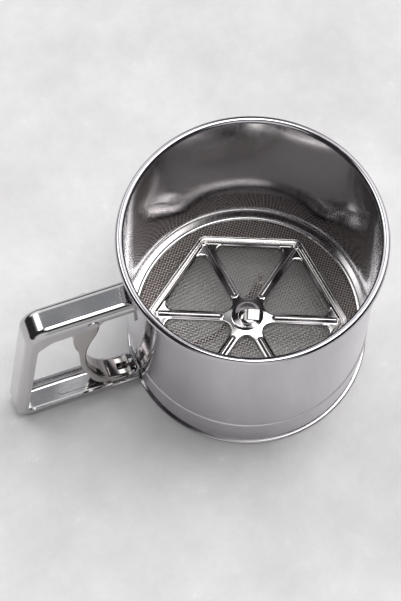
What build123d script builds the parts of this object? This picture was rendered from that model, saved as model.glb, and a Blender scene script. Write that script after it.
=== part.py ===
from build123d import *
import os
from math import cos, radians, sin, sqrt, tan

# Squeeze-handle flour sifter.  Millimetres, +Z up, origin at the centre of the foot
# rim on the table, handle pointing along -X.

# Sheet metal
SHEET = 0.6  # cup shell
STRAP = 0.8  # handle and trigger

# Cup shell
CUP_R = 50.0  # inner radius
CUP_H = 96.0  # top of the rolled rim
RIM_CURL_R = 1.65
FOOT_CURL_R = 0.8
FOOT_FLAT = 0.12  # the foot's curl is pressed flat where it stands
SEAT_DEPTH = 0.35  # swage that holds the sieve cartridge
SEAT_LOW = 11.9
SEAT_HIGH = 20.7
SEAT_RAMP = 0.5

# Sieve cartridge
MESH_OPEN_R = 46.65
SUPPORT_OPEN_R = 39.5  # wide seat under the edge of the cloth
RING_R = CUP_R + 0.3
SUPPORT_Z = 12.5
MESH_Z = 13.1
MESH_T = 0.4
RING_T = 0.5
RING_BEAD_R = 1.1
RING_TOP = 20.1

# Shaft stack, from the table upwards
WIRE_Z = 5.2
PEEN_Z = 5.9
CRANK_WASHER_Z = 6.3
CRANK_Z = 6.9
CRANK_T = 1.2
BUSH_LOW = 12.2
BUSH_R = 3.4
BUSH_FLANGE_R = 5.2
BUSH_TOP = 14.0
THRUST_GAP = 0.3
THRUST_WASHER_T = 0.4
JOURNAL_R = 2.5
RUNNING_FIT = 0.05
CRANK_TANG = 3.6

# Agitator wheel
WHEEL_Z = 15.0
WHEEL_T = 0.7
WHEEL_CORNER_R = 43.7  # to the sharp corner of the hexagon
WHEEL_TURN = 38.0  # degrees from +X to the first corner
WHEEL_ROUND = 5.0
RIDGE_H = 1.1
RIDGE_W = 1.75
RIDGE_GAP = 0.35
RIDGE_EDGE = 0.15
FRAME_W = 4.5
SPOKE_HALF = 2.2
SPOKE_RIDGE_W = 2.6
SPOKE_RIDGE_H = 1.2
HUB_ROUND = 4.3
DOME_R = 5.75
DOME_TOP = 18.0
TAB_W = 4.7  # tab on the shaft, passed through a slot in the dome and bent over
TAB_T = 0.9
TAB_LONG = 4.9
TAB_DROOP = 0.15
TAB_TURN = -23.5  # degrees from +X
SLOT_PLAY = 0.8

# Crank and link
CRANK_R = 21.5
CRANK_TURN = 54.5  # degrees from +X
CRANK_TIP_R = 2.2
CRANK_HUB_R = 4.2
WIRE_R = 0.9
WIRE_BEND_X = -14.4
WIRE_BEND_R = 9.0
LEG_BEND_R = 1.6
LEG_TOP = 9.9
EYE_T = 0.9

# Handle loop, seen from the side
HANDLE_W = 12.8
HANDLE_TOP = 80.0
HANDLE_LOW = 1.5
HANDLE_OUT = 94.0  # reach of the back at the top
HANDLE_LEAN = 0.158  # outward lean of the back per unit of drop
HANDLE_ROUND_TOP = 9.5
HANDLE_ROUND_LOW = 7.0
FLANGE = 5.0
STRAP_BEND = 3.0
PAD_T = 0.8
UPPER_PAD_LOW = 64.0
LOWER_PAD_TOP = 11.6
TONGUE_X = -58.0
TONGUE_W = 6.8
PAD_X = -77.0  # pressed pad in the lower floor
PAD_LONG = 18.0
PAD_WIDE = 4.0
PAD_RISE = 0.4
NOTCH_X = -63.0
NOTCH_Z = 4.2

# Trigger
PIVOT_X = -68.0
PIVOT_Z = 75.0
PIVOT_R = 1.5
EAR_R = 2.9
RIVET_HEAD_R = 2.4
RIVET_HEAD_H = 0.7
TRIGGER_W = 10.2
TRIGGER_BEND = 1.6
PIN_X = -54.0
PIN_Z = 5.7
PIN_R = 0.85
PIN_HEAD_R = 1.45
PIN_HEAD_H = 0.6
KNUCKLE_R = 1.6
KNUCKLE_HALF = 4.2
KNUCKLE_GAP = 3.2
NECK_X = -57.6  # the side walls of the trigger stop here
WEB_TOP = 71.5
PIN_DROP = 1.3  # how far the pin sinks over a full squeeze
EYE_CLEAR = 0.2
EYE_SLACK = 0.6
EYE_RIM = 0.75

# Return spring, wound round the pivot rivet
SPRING_WIRE_R = 0.35
SPRING_R = 2.1
SPRING_PITCH = 0.85
SPRING_TURNS = 7 + 104 / 360  # leaves the free leg pointing outwards
SPRING_LEG = 9.0
SPRING_LEG_LEAN = 5.0

os.makedirs("parts", exist_ok=True)


def save(part, name):
    """Label a finished piece and write it under its own name."""
    part.label = name
    export_step(part, f"parts/{name}.step")


def upright_tube(inner, outer, low, high, at=(0, 0)):
    """A round tube or washer standing on a level plane."""
    with BuildPart() as tube:
        with BuildSketch(Plane.XY.offset(low)):
            with Locations(at):
                Circle(outer)
                Circle(inner, mode=Mode.SUBTRACT)
        extrude(amount=high - low)
    return tube.part


# ---------------------------------------------------------------- cup shell
wall_out = CUP_R + SHEET
curl_r = CUP_R + RIM_CURL_R
curl_z = CUP_H - RIM_CURL_R
foot_r = CUP_R + FOOT_CURL_R
seat_in = CUP_R + SEAT_DEPTH
SLOT_W = 5.6
SLOT_H = 5.2
SLOT_ROUND = 1.5

with BuildPart() as cup_shell:
    with BuildSketch(Plane.XZ):
        with Locations((curl_r, curl_z)):
            Circle(RIM_CURL_R)
            Circle(RIM_CURL_R - SHEET, mode=Mode.SUBTRACT)
        # the curl stops short of the wall, so its lower inner quarter is open
        with Locations((curl_r - RIM_CURL_R, curl_z - RIM_CURL_R)):
            Rectangle(RIM_CURL_R, RIM_CURL_R, align=Align.MIN, mode=Mode.SUBTRACT)
        with Locations((foot_r, FOOT_CURL_R - FOOT_FLAT)):
            Circle(FOOT_CURL_R)
        with Locations((foot_r, 0)):
            Rectangle(4, 4, align=(Align.CENTER, Align.MAX), mode=Mode.SUBTRACT)
        with BuildLine():
            Polyline(
                (CUP_R, FOOT_CURL_R),
                (CUP_R, SEAT_LOW),
                (seat_in, SEAT_LOW + SEAT_RAMP),
                (seat_in, SEAT_HIGH - SEAT_RAMP),
                (CUP_R, SEAT_HIGH),
                (CUP_R, curl_z),
                (wall_out, curl_z),
                (wall_out, SEAT_HIGH),
                (seat_in + SHEET, SEAT_HIGH - SEAT_RAMP),
                (seat_in + SHEET, SEAT_LOW + SEAT_RAMP),
                (wall_out, SEAT_LOW),
                (wall_out, FOOT_CURL_R),
                close=True,
            )
        make_face()
    revolve(axis=Axis.Z)
    with BuildSketch(Plane.YZ.offset(-wall_out - 1)):
        with Locations((0, WIRE_Z)):
            RectangleRounded(SLOT_W, SLOT_H, SLOT_ROUND)
    extrude(amount=SHEET + 3, mode=Mode.SUBTRACT)
save(cup_shell.part, "cup_shell")

# ---------------------------------------------------------- sieve cartridge
support_ring = upright_tube(SUPPORT_OPEN_R, RING_R, SUPPORT_Z, MESH_Z)
save(support_ring, "mesh_support_ring")

sieve_mesh = upright_tube(BUSH_R, CUP_R + 0.2, MESH_Z, MESH_Z + MESH_T)
save(sieve_mesh, "sieve_mesh")

ring_z = MESH_Z + MESH_T
bead_r = MESH_OPEN_R + RING_BEAD_R
with BuildPart() as mesh_retaining_ring:
    with BuildSketch(Plane.XZ):
        # rounded bead that bears on the mesh, open underneath
        with Locations((bead_r, ring_z)):
            Circle(RING_BEAD_R)
            Circle(RING_BEAD_R - RING_T, mode=Mode.SUBTRACT)
        with Locations((bead_r, ring_z)):
            Rectangle(
                4 * RING_BEAD_R,
                2 * RING_BEAD_R,
                align=(Align.CENTER, Align.MAX),
                mode=Mode.SUBTRACT,
            )
        # flat web out to the wall, then the skirt up the wall
        with BuildLine():
            Polyline(
                (bead_r + RING_BEAD_R - RING_T, ring_z),
                (RING_R, ring_z),
                (RING_R, RING_TOP),
                (RING_R - RING_T, RING_TOP),
                (RING_R - RING_T, ring_z + RING_T),
                (bead_r + RING_BEAD_R - RING_T, ring_z + RING_T),
                close=True,
            )
        make_face()
    revolve(axis=Axis.Z)
save(mesh_retaining_ring.part, "mesh_retaining_ring")

# -------------------------------------------------------------- shaft stack
with BuildPart() as shaft_bushing:
    with BuildSketch(Plane.XY.offset(BUSH_LOW)):
        Circle(BUSH_R)
    extrude(amount=BUSH_TOP - BUSH_LOW)
    with BuildSketch(Plane.XY.offset(ring_z)):
        Circle(BUSH_FLANGE_R)
    extrude(amount=BUSH_TOP - ring_z)
    Hole(JOURNAL_R + RUNNING_FIT)
    chamfer(shaft_bushing.faces().sort_by(Axis.Z)[-1].edges(), 0.15)
save(shaft_bushing.part, "shaft_bushing")

save(upright_tube(BUSH_R, BUSH_FLANGE_R, BUSH_LOW, MESH_Z), "bushing_washer")

thrust_top = BUSH_TOP + THRUST_GAP + THRUST_WASHER_T
save(upright_tube(JOURNAL_R, BUSH_FLANGE_R - 0.4, BUSH_TOP + THRUST_GAP, thrust_top), "thrust_washer")

crank_top = CRANK_Z + CRANK_T
spacer = upright_tube(JOURNAL_R, BUSH_R, crank_top, BUSH_LOW - THRUST_GAP)
save(spacer, "crank_spacer")
save(upright_tube(CRANK_TANG / sqrt(2) + 0.05, CRANK_HUB_R, CRANK_WASHER_Z, CRANK_Z), "crank_washer")

dome_under = DOME_TOP - WHEEL_T
tab_top = DOME_TOP + TAB_T + 0.1
tab_way = (cos(radians(TAB_TURN)), sin(radians(TAB_TURN)), 0)
tab_plane = Plane((0, 0, 0), x_dir=tab_way, z_dir=(tab_way[1], -tab_way[0], 0))
with BuildPart() as agitator_shaft:
    with BuildSketch(Plane.XY.offset(crank_top)):
        Circle(JOURNAL_R)
    extrude(amount=thrust_top - crank_top)
    with BuildSketch(Plane.XY.offset(thrust_top)):
        Circle(BUSH_FLANGE_R - 1.2)
    extrude(amount=dome_under - thrust_top)
    # the tab stands up through the dome and is bent down flat over it
    with BuildSketch(tab_plane) as tab_side:
        with BuildLine():
            Polyline(
                (-TAB_T / 2, dome_under),
                (-TAB_T / 2, tab_top),
                (TAB_LONG, tab_top - TAB_DROOP),
                (TAB_LONG, tab_top - TAB_DROOP - TAB_T),
                (TAB_T / 2, tab_top - TAB_T),
                (TAB_T / 2, dome_under),
                close=True,
            )
        make_face()
        fillet(tab_side.vertices().sort_by(Axis.Y)[-1], TAB_T * 0.8)
    extrude(amount=TAB_W / 2, both=True)
    with BuildSketch(Plane.XY.offset(CRANK_WASHER_Z)):
        Rectangle(CRANK_TANG, CRANK_TANG, rotation=CRANK_TURN)
    extrude(amount=crank_top - CRANK_WASHER_Z)
    # the lower end is peened over its washer
    with BuildSketch(Plane.XY.offset(PEEN_Z)):
        Circle(CRANK_TANG * 0.85)
    extrude(amount=CRANK_WASHER_Z - PEEN_Z)
    fillet(agitator_shaft.faces().sort_by(Axis.Z)[0].edges(), 0.3)
save(agitator_shaft.part, "agitator_shaft")

tip_x = CRANK_R * cos(radians(CRANK_TURN))
tip_y = CRANK_R * sin(radians(CRANK_TURN))
with BuildPart() as crank_arm:
    with BuildSketch(Plane.XY.offset(CRANK_Z)):
        Circle(CRANK_HUB_R)
        with Locations(Location((tip_x / 2, tip_y / 2), CRANK_TURN)):
            SlotCenterToCenter(CRANK_R, 2 * CRANK_TIP_R)
        Rectangle(CRANK_TANG, CRANK_TANG, rotation=CRANK_TURN, mode=Mode.SUBTRACT)
        with Locations((tip_x, tip_y)):
            Circle(WIRE_R + RUNNING_FIT, mode=Mode.SUBTRACT)
    extrude(amount=CRANK_T)
    chamfer(crank_arm.faces().sort_by(Axis.Z)[-1].outer_wire().edges(), 0.2)
save(crank_arm.part, "crank_arm")

# ----------------------------------------------------------- agitator wheel
wheel_apothem = WHEEL_CORNER_R * cos(radians(30))
wheel_top = WHEEL_Z + WHEEL_T


def hexagon(inset, mode=Mode.ADD):
    """A round-cornered hexagon, set in from the outline of the wheel."""
    with BuildSketch(mode=Mode.PRIVATE) as outline:
        RegularPolygon(wheel_apothem - inset, 6, major_radius=False, rotation=WHEEL_TURN)
        fillet(outline.vertices(), max(WHEEL_ROUND - inset, 1.2))
    add(outline.sketch, mode=mode)


def wheel_window():
    """One three-sided window between two spokes, pointing along +X."""
    side = wheel_apothem - FRAME_W
    near = SPOKE_HALF / sin(radians(30))
    half = (side - near) * tan(radians(30))
    with BuildSketch(mode=Mode.PRIVATE) as window:
        with BuildLine():
            Polyline((near, 0), (side, half), (side, -half), close=True)
        make_face()
        fillet(window.vertices().group_by(Axis.X)[-1], 3.2)
        fillet(window.vertices().sort_by(Axis.X)[0], HUB_ROUND)
    return window.sketch


with BuildPart() as agitator_wheel:
    with BuildSketch(Plane.XY.offset(WHEEL_Z)):
        hexagon(0)
        with PolarLocations(0, 6, start_angle=WHEEL_TURN + 30):
            add(wheel_window(), mode=Mode.SUBTRACT)
    extrude(amount=WHEEL_T)
    # two stiffening ridges run round the frame
    for inset in (RIDGE_EDGE, RIDGE_EDGE + RIDGE_W + RIDGE_GAP):
        with BuildSketch(Plane.XY.offset(wheel_top)):
            hexagon(inset)
            hexagon(inset + RIDGE_W, mode=Mode.SUBTRACT)
        ridge = extrude(amount=RIDGE_H, mode=Mode.PRIVATE)
        crest = ridge.faces().sort_by(Axis.Z)[-1].edges()
        add(ridge.fillet(RIDGE_W * 0.45, crest))
    # a ridge along each spoke, stopping short of the hub plate
    spoke_in = 10.2
    spoke_out = wheel_apothem / cos(radians(30)) - 6.0
    with BuildSketch(Plane.XY.offset(wheel_top)):
        with PolarLocations((spoke_in + spoke_out) / 2, 6, start_angle=WHEEL_TURN):
            SlotOverall(spoke_out - spoke_in, SPOKE_RIDGE_W)
    spokes = extrude(amount=SPOKE_RIDGE_H, mode=Mode.PRIVATE)
    for spoke in spokes.solids():
        crest = spoke.faces().sort_by(Axis.Z)[-1].edges()
        add(spoke.fillet(SPOKE_RIDGE_W * 0.42, crest))
    # pressed dome over the end of the shaft, hollow below
    with BuildSketch(Plane.XZ):
        with BuildLine():
            Line((0, WHEEL_Z), (DOME_R, WHEEL_Z))
            Line((DOME_R, WHEEL_Z), (DOME_R, wheel_top))
            Spline(
                (DOME_R, wheel_top),
                (DOME_R - 2, DOME_TOP - 0.35),
                (0, DOME_TOP),
                tangents=((-0.2, 1), (-1, 0)),
            )
            Line((0, DOME_TOP), (0, WHEEL_Z))
        make_face()
    revolve(axis=Axis.Z)
    with BuildSketch(Plane.XY.offset(WHEEL_Z)):
        Circle(BUSH_FLANGE_R - 0.9)
    extrude(amount=dome_under - WHEEL_Z, mode=Mode.SUBTRACT)
    with BuildSketch(Plane(tab_plane.origin, x_dir=tab_way, z_dir=(0, 0, 1)).offset(dome_under)):
        with Locations((-SLOT_PLAY / 2, 0)):
            Rectangle(TAB_T + SLOT_PLAY, TAB_W + 0.2)
    extrude(amount=WHEEL_T + 0.1, mode=Mode.SUBTRACT)
save(agitator_wheel.part, "agitator_wheel")

# ---------------------------------------------------------------- link wire
eye_top = PIN_Z + PIN_R + EYE_CLEAR
eye_low = PIN_Z - PIN_DROP - PIN_R - EYE_CLEAR
eye_mid = (eye_top + eye_low) / 2
eye_half_w = PIN_R + EYE_SLACK
wire_end = PIN_X + eye_half_w + EYE_RIM / 2
with BuildPart() as link_wire:
    with BuildLine() as route:
        FilletPolyline(
            (wire_end, 0, WIRE_Z),
            (WIRE_BEND_X, 0, WIRE_Z),
            (tip_x, tip_y, WIRE_Z),
            (tip_x, tip_y, LEG_TOP),
            radius=(WIRE_BEND_R, LEG_BEND_R),
        )
    with BuildSketch(Plane(route.line @ 0, z_dir=route.line % 0)):
        Circle(WIRE_R)
    sweep(path=route.line)
    # the outer end is flattened and pierced for the cross pin
    with BuildSketch(Plane.XZ.offset(-EYE_T / 2)):
        with Locations(Location((PIN_X, eye_mid), 90)):
            SlotOverall(eye_top - eye_low + 2 * EYE_RIM, 2 * (eye_half_w + EYE_RIM))
            SlotOverall(eye_top - eye_low, 2 * eye_half_w, mode=Mode.SUBTRACT)
    extrude(amount=EYE_T)
save(link_wire.part, "link_wire")

save(upright_tube(WIRE_R, WIRE_R + 1.6, crank_top + 0.3, crank_top + 0.9, (tip_x, tip_y)), "link_push_nut")


# ------------------------------------------------------------ handle channel
back_slope = sqrt(1 + HANDLE_LEAN**2)


def back_x(height):
    """X of the handle's outer back at a height."""
    return -(HANDLE_OUT + HANDLE_LEAN * (HANDLE_TOP - height))


def loop_corners(inset):
    """The two outer corners of the handle loop, moved in by the inset."""
    top = HANDLE_TOP - inset
    low = HANDLE_LOW + inset
    shift = inset * back_slope
    return (back_x(top) + shift, top), (back_x(low) + shift, low)


def outer_loop(inset, start_x):
    """The open outer line of the handle, from the cup and back to it."""
    top_corner, low_corner = loop_corners(inset)
    radii = (HANDLE_ROUND_TOP - inset, HANDLE_ROUND_LOW - inset)
    return FilletPolyline(
        (start_x, top_corner[1]), top_corner, low_corner, (start_x, low_corner[1]), radius=radii
    )


def edges_along(part, line, half_width):
    """Edges of a piece extruded both ways along Y that follow one line of its profile."""
    chosen = ShapeList()
    for edge in part.edges():
        middle = edge @ 0.5
        on_side = abs(abs(middle.Y) - half_width) < 0.01
        if on_side and line.distance_to(Vertex(middle.X, middle.Z, 0)) < 0.01:
            chosen.append(edge)
    return chosen


loop_start = -CUP_R + 4
flange_top_corner, flange_low_corner = loop_corners(FLANGE)
lobe_low = PIVOT_Z - 9.4
with BuildPart() as handle_channel:
    with BuildSketch(Plane.XZ):
        with BuildLine():
            outer_line = outer_loop(0, loop_start)
            inner_line = FilletPolyline(
                (loop_start, HANDLE_TOP - FLANGE),
                (PIVOT_X + 4.5, HANDLE_TOP - FLANGE),
                (PIVOT_X + 1.5, PIVOT_Z - 4.0),
                (PIVOT_X - 17, PIVOT_Z - 4.6),
                (back_x(lobe_low) + FLANGE * back_slope, lobe_low),
                flange_low_corner,
                (loop_start, flange_low_corner[1]),
                radius=(2.0, 2.0, 5.0, 5.0, 3.0),
            )
            Line(outer_line @ 0, inner_line @ 0)
            Line(outer_line @ 1, inner_line @ 1)
        make_face()
    extrude(amount=HANDLE_W / 2, both=True)
    fillet(edges_along(handle_channel, outer_line, HANDLE_W / 2), STRAP_BEND)

cavity_half = HANDLE_W / 2 - STRAP
with BuildPart() as handle_cavity:
    with BuildSketch(Plane.XZ):
        with BuildLine():
            cavity_line = outer_loop(STRAP, 0)
            Line(cavity_line @ 0, cavity_line @ 1)
        make_face()
    extrude(amount=cavity_half, both=True)
    fillet(edges_along(handle_cavity, cavity_line, cavity_half), STRAP_BEND - STRAP)

saddle_r = wall_out + PAD_T
floor_z = HANDLE_LOW + STRAP
with handle_channel:
    add(handle_cavity.part, mode=Mode.SUBTRACT)
    # low flanges beside the cup leave the cross pin clear
    with BuildSketch(Plane.XZ):
        with Locations((NOTCH_X, NOTCH_Z)):
            Rectangle(20, 2 * FLANGE, align=Align.MIN)
    extrude(amount=HANDLE_W, both=True, mode=Mode.SUBTRACT)
    # both ends are trimmed to the saddles on the cup
    with BuildSketch(Plane.XY):
        Circle(saddle_r)
    extrude(amount=CUP_H, mode=Mode.SUBTRACT)
    with BuildSketch(Plane.XZ):
        with Locations((PIVOT_X, PIVOT_Z)):
            Circle(PIVOT_R)
    extrude(amount=HANDLE_W, both=True, mode=Mode.SUBTRACT)
    # stiffening pad pressed up in the lower floor
    with BuildSketch(Plane.XY.offset(floor_z)):
        with Locations((PAD_X, 0)):
            SlotOverall(PAD_LONG, PAD_WIDE)
    extrude(amount=PAD_RISE)
save(handle_channel.part, "handle_channel")


def saddle(low, high, tongue_z):
    """A curved plate on the cup with a flat tongue that lies against the handle's web."""
    with BuildPart() as plate:
        with BuildSketch(Plane.XY.offset(low)):
            Circle(saddle_r)
            Circle(wall_out, mode=Mode.SUBTRACT)
            Rectangle(2 * HANDLE_OUT, 2 * cavity_half, align=(Align.MAX, Align.CENTER), mode=Mode.INTERSECT)
        extrude(amount=high - low)
        with BuildSketch(Plane.XY.offset(tongue_z)):
            with Locations((TONGUE_X, 0)):
                Rectangle(10, TONGUE_W, align=(Align.MIN, Align.CENTER))
            Circle(wall_out, mode=Mode.SUBTRACT)
        extrude(amount=PAD_T)
    return plate.part


upper_saddle_top = HANDLE_TOP - STRAP
save(saddle(UPPER_PAD_LOW, upper_saddle_top, upper_saddle_top - PAD_T), "upper_handle_saddle")

with BuildPart() as lower_handle_saddle:
    add(saddle(floor_z, LOWER_PAD_TOP, floor_z))
    # the link passes through a slot that carries on down the tongue
    with BuildSketch(Plane.YZ.offset(-CUP_R - 2)):
        with Locations((0, WIRE_Z)):
            RectangleRounded(SLOT_W, SLOT_H, SLOT_ROUND)
    extrude(amount=4, mode=Mode.SUBTRACT)
    with BuildSketch(Plane.XY.offset(floor_z)):
        with Locations((TONGUE_X - 1, 0)):
            Rectangle(14, KNUCKLE_GAP, align=(Align.MIN, Align.CENTER))
    extrude(amount=PAD_T, mode=Mode.SUBTRACT)
save(lower_handle_saddle.part, "lower_handle_saddle")

rivet_half = HANDLE_W / 2
with BuildPart() as pivot_rivet:
    with BuildSketch(Plane.XZ):
        with Locations((PIVOT_X, PIVOT_Z)):
            Circle(PIVOT_R)
    extrude(amount=rivet_half + 0.2, both=True)
    for side in (-1, 1):
        head_plane = Plane((PIVOT_X, side * rivet_half, PIVOT_Z), z_dir=(0, side, 0))
        with BuildSketch(head_plane):
            Circle(RIVET_HEAD_R)
        extrude(amount=RIVET_HEAD_H)
    heads = pivot_rivet.faces().filter_by(Axis.Y)
    fillet((heads.sort_by(Axis.Y)[0].edges() + heads.sort_by(Axis.Y)[-1].edges()), RIVET_HEAD_H * 0.7)
save(pivot_rivet.part, "pivot_rivet")

# ------------------------------------------------------------- trigger lever
web_half = TRIGGER_W / 2 - STRAP
ear_front = PIVOT_X + EAR_R
ear_back = PIVOT_X - EAR_R - 3.4
with BuildPart() as trigger_lever:
    with BuildSketch(Plane.XZ):
        with BuildLine():
            finger_line = Spline(
                (PIN_X, PIN_Z + KNUCKLE_R),
                (-64.6, 11.4),
                (-69.8, 21.5),
                (-71.9, 40.0),
                (-69.4, 53.0),
                (-65.6, 62.8),
                (ear_front, WEB_TOP),
            )
            Line((ear_front, WEB_TOP), (ear_back, WEB_TOP))
            Spline(
                (ear_back, WEB_TOP),
                (-76.2, 64.0),
                (-75.0, 48.0),
                (-74.9, 35.0),
                (-72.5, 22.0),
                (-67.7, 10.0),
                (-62.0, 4.8),
                (PIN_X, PIN_Z - KNUCKLE_R),
                tangents=((-0.3, -1), (1, 0)),
            )
            Line((PIN_X, PIN_Z - KNUCKLE_R), (PIN_X, PIN_Z + KNUCKLE_R))
        make_face()
    extrude(amount=TRIGGER_W / 2, both=True)
    fillet(edges_along(trigger_lever, finger_line, TRIGGER_W / 2), TRIGGER_BEND)
    # open on the palm side: only the web is left between the side walls
    with BuildSketch(Plane.XZ):
        with Locations((PIVOT_X, PIVOT_Z / 2)):
            Rectangle(2 * EAR_R + 40, HANDLE_TOP + 10)
        trace(finger_line, 2 * STRAP, mode=Mode.SUBTRACT)
    extrude(amount=web_half, both=True, mode=Mode.SUBTRACT)
    # the side walls run on up as ears round the rivet
    with BuildSketch(Plane.XZ):
        with BuildLine():
            Line((ear_front, WEB_TOP), (ear_front, PIVOT_Z))
            ThreePointArc(
                (ear_front, PIVOT_Z), (PIVOT_X, PIVOT_Z + EAR_R), (PIVOT_X - EAR_R, PIVOT_Z)
            )
            Polyline((PIVOT_X - EAR_R, PIVOT_Z), (ear_back, WEB_TOP), (ear_front, WEB_TOP))
        make_face()
    ears = extrude(amount=TRIGGER_W / 2, both=True, mode=Mode.PRIVATE)
    with BuildSketch(Plane.XY.offset(WEB_TOP)):
        with Locations((PIVOT_X, 0)):
            Rectangle(20, 2 * web_half)
    gap = extrude(amount=20, mode=Mode.PRIVATE)
    add(ears - gap)
    # beyond the neck only the web goes on, narrowed to the knuckles
    with BuildSketch(Plane.XZ):
        with Locations((NECK_X, 0)):
            Rectangle(20, PIN_Z + KNUCKLE_R - STRAP, align=Align.MIN)
    extrude(amount=TRIGGER_W, both=True, mode=Mode.SUBTRACT)
    with BuildSketch(Plane.XY):
        for side in (-1, 1):
            with Locations((NECK_X + 1, side * (KNUCKLE_HALF + 5))):
                Rectangle(20, 10, align=(Align.MIN, Align.CENTER))
    extrude(amount=4 * KNUCKLE_R + PIN_Z, mode=Mode.SUBTRACT)
    with BuildSketch(Plane.XZ):
        with Locations((PIN_X, PIN_Z)):
            Circle(KNUCKLE_R)
    extrude(amount=KNUCKLE_HALF, both=True)
    with BuildSketch(Plane.XY):
        with Locations((NECK_X - 1.5, 0)):
            Rectangle(20, KNUCKLE_GAP, align=(Align.MIN, Align.CENTER))
    extrude(amount=4 * KNUCKLE_R + PIN_Z, mode=Mode.SUBTRACT)
    with BuildSketch(Plane.XZ):
        with Locations((PIN_X, PIN_Z)):
            Circle(PIN_R + RUNNING_FIT)
        with Locations((PIVOT_X, PIVOT_Z)):
            Circle(PIVOT_R + RUNNING_FIT)
    extrude(amount=TRIGGER_W, both=True, mode=Mode.SUBTRACT)
save(trigger_lever.part, "trigger_lever")

head_y = KNUCKLE_HALF + 0.1
with BuildPart() as trigger_pin:
    with BuildSketch(Plane((PIN_X, -head_y, PIN_Z), z_dir=(0, 1, 0))):
        Circle(PIN_R)
    extrude(amount=2 * head_y + PIN_HEAD_H)
    with BuildSketch(Plane((PIN_X, -head_y, PIN_Z), z_dir=(0, -1, 0))):
        Circle(PIN_HEAD_R)
    extrude(amount=PIN_HEAD_H)
    fillet(trigger_pin.faces().sort_by(Axis.Y)[0].edges(), PIN_HEAD_H * 0.6)
save(trigger_pin.part, "trigger_pin")

with BuildPart() as pin_push_nut:
    with BuildSketch(Plane((PIN_X, head_y, PIN_Z), z_dir=(0, 1, 0))):
        Circle(PIN_HEAD_R)
        Circle(PIN_R, mode=Mode.SUBTRACT)
    extrude(amount=PIN_HEAD_H * 0.7)
save(pin_push_nut.part, "pin_push_nut")

# ------------------------------------------------------------- return spring
coil_long = SPRING_PITCH * SPRING_TURNS
start_turn = radians(-SPRING_LEG_LEAN)
spring_plane = Plane(
    (PIVOT_X, coil_long / 2, PIVOT_Z), x_dir=(cos(start_turn), 0, sin(start_turn)), z_dir=(0, -1, 0)
)
coil = spring_plane * Helix(SPRING_PITCH, coil_long, SPRING_R)
with BuildPart() as return_spring:
    with BuildSketch(Plane(coil @ 0, z_dir=coil % 0)):
        Circle(SPRING_WIRE_R)
    sweep(path=coil, is_frenet=True)
    # one leg runs down the trigger's web, the other out under the handle's top
    for end, way in ((0, -1), (1, 1)):
        with BuildSketch(Plane(coil @ end, z_dir=(coil % end) * way)):
            Circle(SPRING_WIRE_R)
        extrude(amount=SPRING_LEG)
save(return_spring.part, "return_spring")
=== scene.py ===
import math

import bpy
import numpy as np
from mathutils import Euler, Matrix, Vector
from mathutils.geometry import delaunay_2d_cdt


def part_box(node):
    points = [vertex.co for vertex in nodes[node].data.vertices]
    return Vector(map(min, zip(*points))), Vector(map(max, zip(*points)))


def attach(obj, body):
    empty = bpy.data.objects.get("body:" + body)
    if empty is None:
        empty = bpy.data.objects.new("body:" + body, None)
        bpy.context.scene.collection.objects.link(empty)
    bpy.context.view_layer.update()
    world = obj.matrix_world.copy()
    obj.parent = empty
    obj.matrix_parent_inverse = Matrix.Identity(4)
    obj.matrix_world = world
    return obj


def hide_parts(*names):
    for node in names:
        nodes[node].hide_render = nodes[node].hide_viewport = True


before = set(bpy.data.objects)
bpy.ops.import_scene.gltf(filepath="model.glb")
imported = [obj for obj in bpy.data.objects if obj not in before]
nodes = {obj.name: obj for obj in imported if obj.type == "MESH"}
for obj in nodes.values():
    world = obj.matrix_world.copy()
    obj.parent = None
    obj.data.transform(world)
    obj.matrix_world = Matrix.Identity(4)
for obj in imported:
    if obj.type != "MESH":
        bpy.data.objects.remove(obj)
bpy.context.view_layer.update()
MM = 0.001

# Camera, at the photograph's angle
CAMERA_AT = (-0.1213, -0.2789, 0.7307)
CAMERA_TURN = (23.51, -0.087, -19.531)  # degrees
CAMERA_LENS = 163.8
CAMERA_SENSOR = 36.0
CAMERA_CLIP = 20.0

# Wire cloth
WEAVE_PITCH = 1.13 * MM
WEAVE_WIRE_R = 0.18 * MM
WEAVE_SWAY = 0.95 * WEAVE_WIRE_R  # how far a wire rises and dips at a crossing
WEAVE_TURN = math.radians(-37)
WEAVE_SIDES = 6
WASHER_GRIP = 1.2 * MM  # how far the bush's washer reaches over the cloth

# Agitator wheel
SIXTH = math.radians(60)
WHEEL_APOTHEM = 37.85 * MM
WHEEL_TURN = math.radians(38)
WHEEL_ROUND = 5.0 * MM
WHEEL_SHEET = 0.7 * MM
WHEEL_GRID = 0.4 * MM
FRAME_WIDTH = 4.5 * MM
SPOKE_HALF = 2.2 * MM
WINDOW_ROUND = (4.3 * MM, 3.2 * MM, 3.2 * MM)
BEAD_PLACES = (1.05 * MM, 3.15 * MM)  # in from the wheel's outline
BEAD_HALF = 0.98 * MM
BEAD_HEIGHT = 1.05 * MM
RIB_RUN = (11.8 * MM, 37.6 * MM)
RIB_HALF = 1.5 * MM
RIB_HEIGHT = 1.1 * MM
ROLLED_EDGE = 0.75 * MM
ROLLED_DROP = 0.4 * MM
HUB_R = 10.8 * MM
HUB_SLOPE = 0.11
HUB_EASE = 1.0 * MM  # over which the hub's cone starts
DOME_R = 6.9 * MM
DOME_FALL = 2.4
SLOT_TURN = math.radians(-23.5)
SLOT_SIZE = (1.7 * MM, 4.9 * MM)
SLOT_BACK = 0.4 * MM
SLOT_ROUND = 0.3 * MM
SLOPE_STEP = 0.03 * MM

# Stage
FLOOR_SIZE = 6.0
ROOM = (0.035, 0.034, 0.036)


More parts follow.
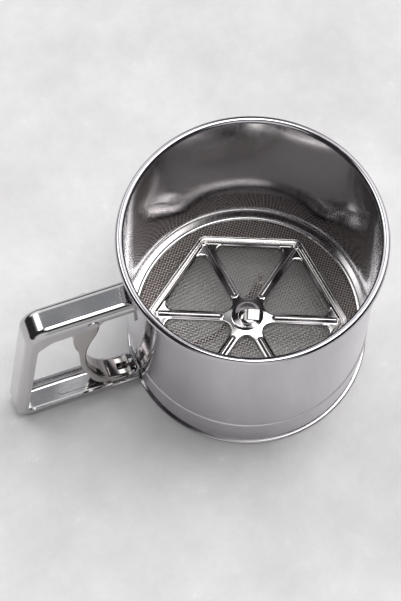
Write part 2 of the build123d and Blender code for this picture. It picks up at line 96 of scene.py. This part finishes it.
# ------------------------------------------------------------------ shader helpers
class Shader:
    """Node tree of one material, with the few calls that the materials below share."""

    def __init__(self, name):
        self.material = bpy.data.materials.new(name)
        self.material.use_nodes = True
        self.tree = self.material.node_tree
        self.bsdf = self.tree.nodes["Principled BSDF"]
        self.coords = self.tree.nodes.new("ShaderNodeTexCoord").outputs["Object"]

    def feed(self, socket, value):
        """Link a node's socket to another's output, or give it a constant."""
        if isinstance(value, bpy.types.NodeSocket):
            self.tree.links.new(value, socket)
        else:
            socket.default_value = value

    def surface(self, **values):
        """Set or link sockets of the surface shader, such as base_color."""
        for name, value in values.items():
            self.feed(self.bsdf.inputs[name.replace("_", " ").title()], value)

    def mapped(self, scale):
        """The object's coordinates, scaled along each axis."""
        mapping = self.tree.nodes.new("ShaderNodeMapping")
        mapping.inputs["Scale"].default_value = scale
        self.feed(mapping.inputs["Vector"], self.coords)
        return mapping.outputs["Vector"]

    def noise(self, scale, detail=4.0, rough=0.55, vector=None):
        noise = self.tree.nodes.new("ShaderNodeTexNoise")
        noise.inputs["Scale"].default_value = scale
        noise.inputs["Detail"].default_value = detail
        noise.inputs["Roughness"].default_value = rough
        self.feed(noise.inputs["Vector"], vector or self.coords)
        return noise.outputs["Fac"]

    def spread(self, value, low, high, from_low=0.3, from_high=0.7):
        """Map a noise's middle range, from_low to from_high, to low to high."""
        spread = self.tree.nodes.new("ShaderNodeMapRange")
        spread.inputs["From Min"].default_value = from_low
        spread.inputs["From Max"].default_value = from_high
        spread.inputs["To Min"].default_value = low
        spread.inputs["To Max"].default_value = high
        self.feed(spread.inputs["Value"], value)
        return spread.outputs["Result"]

    def mix(self, factor, first, second):
        """Blend two colours, each a tuple or another node's output."""
        mix = self.tree.nodes.new("ShaderNodeMix")
        mix.data_type = "RGBA"
        for name, color in (("A", first), ("B", second)):
            self.feed(mix.inputs[name], (*color, 1) if isinstance(color, tuple) else color)
        self.feed(mix.inputs["Factor"], factor)
        return mix.outputs["Result"]

    def math(self, operation, first, second):
        node = self.tree.nodes.new("ShaderNodeMath")
        node.operation = operation
        self.feed(node.inputs[0], first)
        self.feed(node.inputs[1], second)
        return node.outputs["Value"]

    def vector_math(self, operation, first, second=(0, 0, 0)):
        node = self.tree.nodes.new("ShaderNodeVectorMath")
        node.operation = operation
        self.feed(node.inputs[0], first)
        self.feed(node.inputs[1], second)
        return node

    def bump(self, height, distance):
        bump = self.tree.nodes.new("ShaderNodeBump")
        bump.inputs["Distance"].default_value = distance
        self.feed(bump.inputs["Height"], height)
        self.surface(normal=bump.outputs["Normal"])


# ------------------------------------------------------------------------ materials
def polished(name, tint, rough, ripple):
    """Mirror-polished sheet with fine scratches, faint smears and slight ripples."""
    steel = Shader(name)
    smear = steel.noise(60.0, 3.0)
    scratches = steel.noise(900.0, 2.0, 0.7, steel.mapped((1, 1, 0.03)))
    darker = tuple(0.93 * c for c in tint)
    lines = steel.spread(scratches, 0.0, 0.05, 0.45, 0.75)
    haze = steel.spread(smear, rough, rough + 0.05)
    steel.surface(
        metallic=1.0,
        base_color=steel.mix(smear, darker, tint),
        roughness=steel.math("ADD", lines, haze),
    )
    steel.bump(steel.noise(28.0, 2.0), ripple)
    return steel


def polished_steel(name, tint, rough, ripple):
    """The material of polished(), for the pieces that need no more than that."""
    return polished(name, tint, rough, ripple).material


def cup_steel():
    """The cup's polished sheet, with painted shade inside the skirt below the sieve: the skirt's inner
    wall is coloured near-black in place of its shade.
    """
    steel = polished("shell_steel", (0.58, 0.565, 0.59), 0.07, 0.00012)
    wall_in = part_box("mesh_retaining_ring")[1].x
    skirt_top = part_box("sieve_mesh")[0].z - MM
    apart = steel.tree.nodes.new("ShaderNodeSeparateXYZ")
    steel.feed(apart.inputs["Vector"], steel.coords)
    flat = steel.vector_math("MULTIPLY", steel.coords, (1, 1, 0))
    radius = steel.vector_math("LENGTH", flat.outputs["Vector"])
    low = steel.math("LESS_THAN", apart.outputs["Z"], skirt_top)
    inside = steel.math("LESS_THAN", radius.outputs["Value"], wall_in)
    polish = steel.bsdf.inputs["Base Color"].links[0].from_socket
    # Painted shade: mask of the skirt's inner wall below the sieve, which is coloured near-black in
    # place of the shade there.
    painted_skirt_shade = steel.math("MULTIPLY", low, inside)
    steel.surface(base_color=steel.mix(painted_skirt_shade, polish, (0.10, 0.085, 0.08)))
    return steel.material


def satin_steel(name, tint, rough):
    """Plain steel, tumbled rather than polished."""
    steel = Shader(name)
    grain = steel.noise(1500.0, 3.0, 0.6)
    stain = steel.noise(150.0, 4.0)
    darker = tuple(0.82 * c for c in tint)
    steel.surface(
        metallic=1.0,
        base_color=steel.mix(stain, darker, tint),
        roughness=steel.spread(grain, rough, rough + 0.15),
    )
    steel.bump(grain, 0.00002)
    return steel.material


def turned_brass():
    """Turned brass with fine tool marks and a little tarnish."""
    brass = Shader("turned_brass")
    tarnish = brass.noise(400.0, 4.0)
    brass.surface(
        metallic=1.0,
        base_color=brass.mix(tarnish, (0.42, 0.30, 0.13), (0.75, 0.58, 0.28)),
        roughness=brass.spread(tarnish, 0.22, 0.4),
    )
    brass.bump(brass.noise(4000.0, 1.0), 0.00001)
    return brass.material


def table_stone():
    """Pale table top, lightly mottled, with paler flecks."""
    stone = Shader("table_stone")
    cloud = stone.noise(14.0, 8.0, 0.68)
    speck = stone.noise(260.0, 3.0, 0.6)
    shade = stone.spread(cloud, 0, 1, 0.36, 0.66)
    veins = stone.mix(shade, (0.68, 0.672, 0.68), (0.83, 0.825, 0.83))
    flecks = stone.spread(stone.noise(110.0, 6.0, 0.7), 0, 0.6, 0.62, 0.76)
    stone.surface(
        base_color=stone.mix(flecks, veins, (0.93, 0.93, 0.94)),
        roughness=stone.spread(speck, 0.45, 0.6),
    )
    stone.bump(stone.math("ADD", speck, cloud), 0.0002)
    return stone.material


SHELL_STEEL = cup_steel()
HANDLE_STEEL = polished_steel("handle_steel", (0.58, 0.57, 0.58), 0.06, 0.0003)
TRIGGER_STEEL = polished_steel("trigger_steel", (0.56, 0.53, 0.51), 0.05, 0.0003)
WHEEL_STEEL = polished_steel("wheel_steel", (0.68, 0.66, 0.65), 0.03, 0.00006)
RING_STEEL = polished_steel("ring_steel", (0.66, 0.65, 0.65), 0.10, 0.00008)
WIRE_STEEL = satin_steel("wire_steel", (0.54, 0.51, 0.49), 0.24)
PLAIN_STEEL = satin_steel("plain_steel", (0.62, 0.61, 0.60), 0.28)
# Painted shade: a near-black tint for the crank, link, their washers and the support ring under the
# sieve, standing in for the shade they sit in.
PAINTED_SHADE_STEEL = satin_steel("painted_shade_steel", (0.12, 0.088, 0.082), 0.45)
SPRING_STEEL = satin_steel("spring_steel", (0.42, 0.40, 0.38), 0.3)
BRASS = turned_brass()

FINISH = {
    "cup_shell": SHELL_STEEL,
    "handle_channel": HANDLE_STEEL,
    "trigger_lever": TRIGGER_STEEL,
    "agitator_wheel": WHEEL_STEEL,
    "agitator_shaft": WHEEL_STEEL,
    "mesh_retaining_ring": RING_STEEL,
    # Painted shade: the support ring, crank spacer, crank arm, crank washer and link wire get the
    # near-black steel in place of their shade.
    "mesh_support_ring": PAINTED_SHADE_STEEL,
    "sieve_mesh": WIRE_STEEL,
    "shaft_bushing": BRASS,
    "bushing_washer": PLAIN_STEEL,
    "thrust_washer": BRASS,
    "crank_spacer": PAINTED_SHADE_STEEL,
    "crank_arm": PAINTED_SHADE_STEEL,
    "crank_washer": PAINTED_SHADE_STEEL,
    "link_wire": PAINTED_SHADE_STEEL,
    "link_push_nut": SPRING_STEEL,
    "upper_handle_saddle": HANDLE_STEEL,
    "lower_handle_saddle": HANDLE_STEEL,
    "pivot_rivet": PLAIN_STEEL,
    "trigger_pin": PLAIN_STEEL,
    "pin_push_nut": SPRING_STEEL,
    "return_spring": SPRING_STEEL,
}
for node, material in FINISH.items():
    mesh = nodes[node].data
    mesh.materials.clear()
    mesh.materials.append(material)


# --------------------------------------------------------------------- mesh helpers
def new_piece(name, points, faces, material, body):
    """A mesh piece in metres that rides on a body."""
    mesh = bpy.data.meshes.new(name)
    mesh.from_pydata([tuple(p) for p in points], [], faces)
    mesh.update()
    mesh.shade_smooth()
    mesh.materials.append(material)
    piece = bpy.data.objects.new(name, mesh)
    bpy.context.scene.collection.objects.link(piece)
    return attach(piece, body)


def turned(points, angle):
    """Points of a plane, turned anticlockwise about its origin."""
    cos, sin = math.cos(angle), math.sin(angle)
    return points @ np.array([[cos, sin], [-sin, cos]])


def rounded_outline(corners, radii, step):
    """Points round a convex outline, anticlockwise, with each corner cut to an arc."""
    points = []
    count = len(corners)
    for i in range(count):
        corner = np.array(corners[i])
        before = np.array(corners[i - 1]) - corner
        after = np.array(corners[(i + 1) % count]) - corner
        before /= np.linalg.norm(before)
        after /= np.linalg.norm(after)
        half = math.acos(np.clip(before @ after, -1, 1)) / 2
        middle = (before + after) / np.linalg.norm(before + after)
        centre = corner + middle * radii[i] / math.sin(half)
        reach = radii[i] / math.tan(half)
        sweep = math.pi - 2 * half
        start = math.atan2(*(corner + before * reach - centre)[::-1])
        turns = max(2, round(sweep * radii[i] / step))
        for k in range(turns + 1):
            angle = start + sweep * k / turns
            points.append(centre + radii[i] * np.array([math.cos(angle), math.sin(angle)]))
    outline = []
    for first, second in zip(points, points[1:] + points[:1]):
        parts = max(1, round(np.linalg.norm(second - first) / step))
        outline += [first + (second - first) * k / parts for k in range(parts)]
    return np.array(outline)


def distance_to(outline, points):
    """Shortest distance from each point to a closed outline."""
    ways = np.roll(outline, -1, axis=0) - outline
    nearest = np.full(len(points), np.inf)
    for first, way, size2 in zip(outline, ways, (ways**2).sum(axis=1)):
        share = np.clip(((points - first) @ way) / size2, 0, 1)
        gap = points - first - share[:, None] * way
        nearest = np.minimum(nearest, (gap**2).sum(axis=1))
    return np.sqrt(nearest)


def within(outline, points):
    """Which points lie inside a closed outline, by counting crossings."""
    inside = np.zeros(len(points), dtype=bool)
    for first, second in zip(outline, np.roll(outline, -1, axis=0)):
        spans = (first[1] > points[:, 1]) != (second[1] > points[:, 1])
        if not spans.any():
            continue
        share = (points[:, 1] - first[1]) / (second[1] - first[1])
        inside ^= spans & (points[:, 0] < first[0] + share * (second[0] - first[0]))
    return inside


# -------------------------------------------------------------------- woven wire cloth
def wire_run(middle, along, across, offset, stations, row, phase):
    """Points of one waved wire, ring after ring, where stations are places along it."""
    upright = np.array([0.0, 0.0, 1.0])
    angles = np.arange(WEAVE_SIDES) * 2 * math.pi / WEAVE_SIDES
    points = []
    for s in stations:
        wave = math.sin(math.pi * (s / WEAVE_PITCH) + math.pi * row) * phase
        centre = along * s + across * offset + upright * (middle + WEAVE_SWAY * wave)
        for angle in angles:
            side = across * math.cos(angle) + upright * math.sin(angle)
            points.append(centre + side * WEAVE_WIRE_R)
    return points


def tube_faces(base, rings):
    """Side faces and two end caps of a tube whose rings start at vertex base."""
    faces = []
    for k in range(rings - 1):
        for j in range(WEAVE_SIDES):
            a = base + k * WEAVE_SIDES + j
            b = base + k * WEAVE_SIDES + (j + 1) % WEAVE_SIDES
            faces.append((a, b, b + WEAVE_SIDES, a + WEAVE_SIDES))
    tip = base + (rings - 1) * WEAVE_SIDES
    faces.append(tuple(base + j for j in reversed(range(WEAVE_SIDES))))
    faces.append(tuple(tip + j for j in range(WEAVE_SIDES)))
    return faces


def woven_wires(name, turn, phase):
    """One set of parallel wires of a plain weave, clipped to the sieve's round outline."""
    low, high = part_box("sieve_mesh")
    hole_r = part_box("bushing_washer")[1].x - WASHER_GRIP
    middle = (low.z + high.z) / 2
    reach = high.x - WEAVE_WIRE_R
    along = np.array([math.cos(turn), math.sin(turn), 0.0])
    across = np.array([-math.sin(turn), math.cos(turn), 0.0])
    points = []
    faces = []
    count = int(reach / WEAVE_PITCH)
    for row in range(-count, count + 1):
        offset = (row + 0.5) * WEAVE_PITCH
        if abs(offset) >= reach:
            continue
        half = math.sqrt(reach**2 - offset**2)
        runs = [(-half, half)]
        if abs(offset) < hole_r:
            gap = math.sqrt(hole_r**2 - offset**2)
            runs = [(-half, -gap), (gap, half)]
        for start, end in runs:
            first = math.ceil(2 * start / WEAVE_PITCH)
            last = math.floor(2 * end / WEAVE_PITCH)
            stations = [step * WEAVE_PITCH / 2 for step in range(first, last + 1)]
            if len(stations) < 2:
                continue
            faces += tube_faces(len(points), len(stations))
            points += wire_run(middle, along, across, offset, stations, row, phase)
    piece = new_piece(name, points, faces, WIRE_STEEL, "root")
    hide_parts("sieve_mesh")


woven_wires("sieve_warp", WEAVE_TURN, 1.0)
woven_wires("sieve_weft", WEAVE_TURN + math.pi / 2, -1.0)


# ------------------------------------------------------------------ agitator wheel
def swell(distance, half, height):
    """Round bead whose foot runs smoothly into the sheet."""
    share = np.clip(distance / half, 0, 1)
    return height * (0.5 + 0.5 * np.cos(math.pi * share))


class PressedWheel:
    """Outlines and pressed height of the six-spoked wheel."""

    def __init__(self, dome_height):
        corner_r = WHEEL_APOTHEM / math.cos(SIXTH / 2)
        hexagon = [(corner_r * math.cos(k * SIXTH), corner_r * math.sin(k * SIXTH)) for k in range(6)]
        self.outer = rounded_outline(hexagon, [WHEEL_ROUND] * 6, WHEEL_GRID)
        far = WHEEL_APOTHEM - FRAME_WIDTH
        near = SPOKE_HALF / math.sin(SIXTH / 2)
        half = (far - near) * math.tan(SIXTH / 2)
        triangle = [(near, 0), (far, -half), (far, half)]
        self.window = turned(rounded_outline(triangle, WINDOW_ROUND, WHEEL_GRID), SIXTH / 2)
        self.dome_height = dome_height
        corners = np.array([(-1, -1), (1, -1), (1, 1), (-1, 1)]) * np.array(SLOT_SIZE) / 2
        opening = rounded_outline(corners, [SLOT_ROUND] * 4, WHEEL_GRID)
        opening = turned(opening - np.array([SLOT_BACK, 0]), SLOT_TURN - WHEEL_TURN)
        self.holes = [turned(self.window, k * SIXTH) for k in range(6)] + [opening]

    def covers(self, points):
        """Which points lie on the sheet, inside its outline and in none of its holes."""
        rules = [within(self.outer, points), *[~within(hole, points) for hole in self.holes]]
        return np.array(rules).all(axis=0)

    def height(self, points):
        """Height of the sheet's upper face over its flat parts."""
        r = np.hypot(points[:, 0], points[:, 1])
        turn = np.arctan2(points[:, 1], points[:, 0])
        turn = np.abs((turn + SIXTH / 2) % SIXTH - SIXTH / 2)
        folded = np.stack([r * np.cos(turn), r * np.sin(turn)], axis=1)
        from_edge = distance_to(self.outer, folded) * np.where(within(self.outer, folded), 1, -1)
        from_window = distance_to(self.window, folded) * np.where(within(self.window, folded), -1, 1)
        rise = sum(swell(np.abs(from_edge - place), BEAD_HALF, BEAD_HEIGHT) for place in BEAD_PLACES)
        beyond = folded[:, 0] - np.clip(folded[:, 0], *RIB_RUN)
        rise = rise + swell(np.hypot(beyond, folded[:, 1]), RIB_HALF, RIB_HEIGHT)
        rise -= ROLLED_DROP * (1 - np.clip(from_window / ROLLED_EDGE, -1, 1)) ** 2
        rise -= ROLLED_DROP * (1 - np.clip(from_edge / BEAD_PLACES[0], -1, 1)) ** 3
        inward = np.maximum(HUB_R - r, 0)
        cone = HUB_SLOPE * inward**2 / (inward + HUB_EASE)
        dome = (1 - np.clip(r / DOME_R, 0, 1) ** DOME_FALL) ** 2
        return (rise + cone) * (1 - dome) + self.dome_height * dome

    def normal(self, points):
        """Upward unit normals of the pressed sheet."""
        slopes = []
        for step in np.array([[SLOPE_STEP, 0], [0, SLOPE_STEP]]):
            rise = self.height(points + step) - self.height(points - step)
            slopes.append(rise / (2 * SLOPE_STEP))
        normal = np.stack([-slopes[0], -slopes[1], np.ones(len(points))], axis=1)
        return normal / np.linalg.norm(normal, axis=1)[:, None]

    def triangles(self):
        """Points and triangles of the flat sheet, fine enough to be pressed."""
        outlines = [self.outer, *self.holes]
        count = int(2.4 * WHEEL_APOTHEM / WHEEL_GRID)  # a little past the corners
        rows = np.arange(-count // 2, count // 2 + 1)
        column, row = np.meshgrid(rows, rows)
        columns = (column + 0.5 * (row % 2)).ravel()
        grid = np.stack([columns, (row * math.sqrt(0.75)).ravel()], axis=1) * WHEEL_GRID
        grid = grid[self.covers(grid)]
        for outline in outlines:
            grid = grid[distance_to(outline, grid) > 0.5 * WHEEL_GRID]
        edges = []
        base = 0
        for outline in outlines:
            size = len(outline)
            edges += [(base + k, base + (k + 1) % size) for k in range(size)]
            base += size
        scaled = [Vector(p) for p in np.concatenate([*outlines, grid]) / MM]
        result = delaunay_2d_cdt(scaled, edges, [], 0, 1e-6)
        points = np.array([tuple(v) for v in result[0]]) * MM
        centres = np.array([points[list(face)].mean(axis=0) for face in result[2]])
        faces = [face for face, keep in zip(result[2], self.covers(centres)) if keep]
        used = sorted({index for face in faces for index in face})
        place = {index: k for k, index in enumerate(used)}
        return points[used], [tuple(place[index] for index in face) for face in faces]


def pressed_wheel():
    """The spoked wheel as one pressed sheet with beads, ribs, rolled edges and a domed hub."""
    low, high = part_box("agitator_wheel")
    wheel = PressedWheel(high.z - low.z - WHEEL_SHEET)
    points, faces = wheel.triangles()
    top = low.z + WHEEL_SHEET + wheel.height(points)
    normal = wheel.normal(points)
    across = turned(points, WHEEL_TURN)
    normal[:, :2] = turned(normal[:, :2], WHEEL_TURN)
    upper = np.column_stack([across, top])
    lower = np.column_stack([across, np.maximum(top - WHEEL_SHEET, low.z)])
    sheet = len(points)
    sides = dict.fromkeys(pair for face in faces for pair in zip(face, face[1:] + face[:1]))
    walls = [(b, a, a + sheet, b + sheet) for a, b in sides if (b, a) not in sides]
    under = [tuple(index + sheet for index in reversed(face)) for face in faces]
    piece = new_piece("pressed_wheel", [*upper, *lower], faces + under + walls, WHEEL_STEEL, "agitator")
    corner_normals = [*map(tuple, normal), *map(tuple, -normal)]
    piece.data.normals_split_custom_set_from_vertices(corner_normals)
    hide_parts("agitator_wheel")


pressed_wheel()


# ------------------------------------------------------------------- stage and lights
def floor():
    """The table top that the sifter stands on."""
    bpy.ops.mesh.primitive_plane_add(size=FLOOR_SIZE)
    plane = bpy.context.object
    plane.name = "floor"
    plane.data.materials.append(table_stone())


class LightPatch:
    """A soft round patch of light on the studio's dome, aimed in degrees."""

    def __init__(self, turn, height, core, edge, strength, tint=(1, 1, 1)):
        turn, height = math.radians(turn), math.radians(height)
        self.aim = (
            math.cos(height) * math.cos(turn),
            math.cos(height) * math.sin(turn),
            math.sin(height),
        )
        self.inside = math.cos(math.radians(core))
        self.outside = math.cos(math.radians(edge))
        self.color = tuple(strength * c for c in tint)


STUDIO = [
    LightPatch(turn=0, height=76, core=10, edge=24, strength=4.5, tint=(1.0, 0.99, 0.98)),
    LightPatch(turn=20, height=40, core=18, edge=36, strength=1.6),
    LightPatch(turn=110, height=38, core=14, edge=32, strength=1.3),
    LightPatch(turn=70, height=84, core=4, edge=8, strength=4.4),
    LightPatch(turn=66, height=66, core=4, edge=20, strength=0.3, tint=(0.92, 0.96, 1.0)),
    LightPatch(turn=131, height=57, core=6, edge=14, strength=3.0),
    LightPatch(turn=-113, height=22, core=14, edge=38, strength=0.8),
    LightPatch(turn=0, height=-90, core=86, edge=93, strength=0.72),
]


def surroundings():
    """A dim room with a few soft patches of light, for the metal to mirror."""
    world = bpy.data.worlds.new("studio")
    world.use_nodes = True
    tree = world.node_tree
    direction = tree.nodes.new("ShaderNodeTexCoord").outputs["Generated"]
    total = None
    for patch in STUDIO:
        facing = tree.nodes.new("ShaderNodeVectorMath")
        facing.operation = "DOT_PRODUCT"
        facing.inputs[1].default_value = patch.aim
        tree.links.new(direction, facing.inputs[0])
        fade = tree.nodes.new("ShaderNodeMapRange")
        fade.interpolation_type = "SMOOTHSTEP"
        fade.inputs["From Min"].default_value = patch.outside
        fade.inputs["From Max"].default_value = patch.inside
        tree.links.new(facing.outputs["Value"], fade.inputs["Value"])
        light = tree.nodes.new("ShaderNodeVectorMath")
        light.operation = "MULTIPLY_ADD"
        light.inputs[1].default_value = patch.color
        light.inputs[2].default_value = ROOM
        tree.links.new(fade.outputs["Result"], light.inputs[0])
        if total is not None:
            tree.links.new(total, light.inputs[2])
        total = light.outputs["Vector"]
    tree.links.new(total, tree.nodes["Background"].inputs["Color"])
    bpy.context.scene.world = world
    bpy.context.scene.view_settings.view_transform = "Standard"


def camera():
    """The camera at the photograph's angle, without depth of field."""
    data = bpy.data.cameras.new("camera")
    data.sensor_fit = "HORIZONTAL"
    data.sensor_width = CAMERA_SENSOR
    data.lens = CAMERA_LENS
    data.clip_end = CAMERA_CLIP
    holder = bpy.data.objects.new("camera", data)
    holder.location = CAMERA_AT
    holder.rotation_euler = Euler([math.radians(a) for a in CAMERA_TURN])
    bpy.context.scene.collection.objects.link(holder)
    bpy.context.scene.camera = holder


floor()
surroundings()
camera()
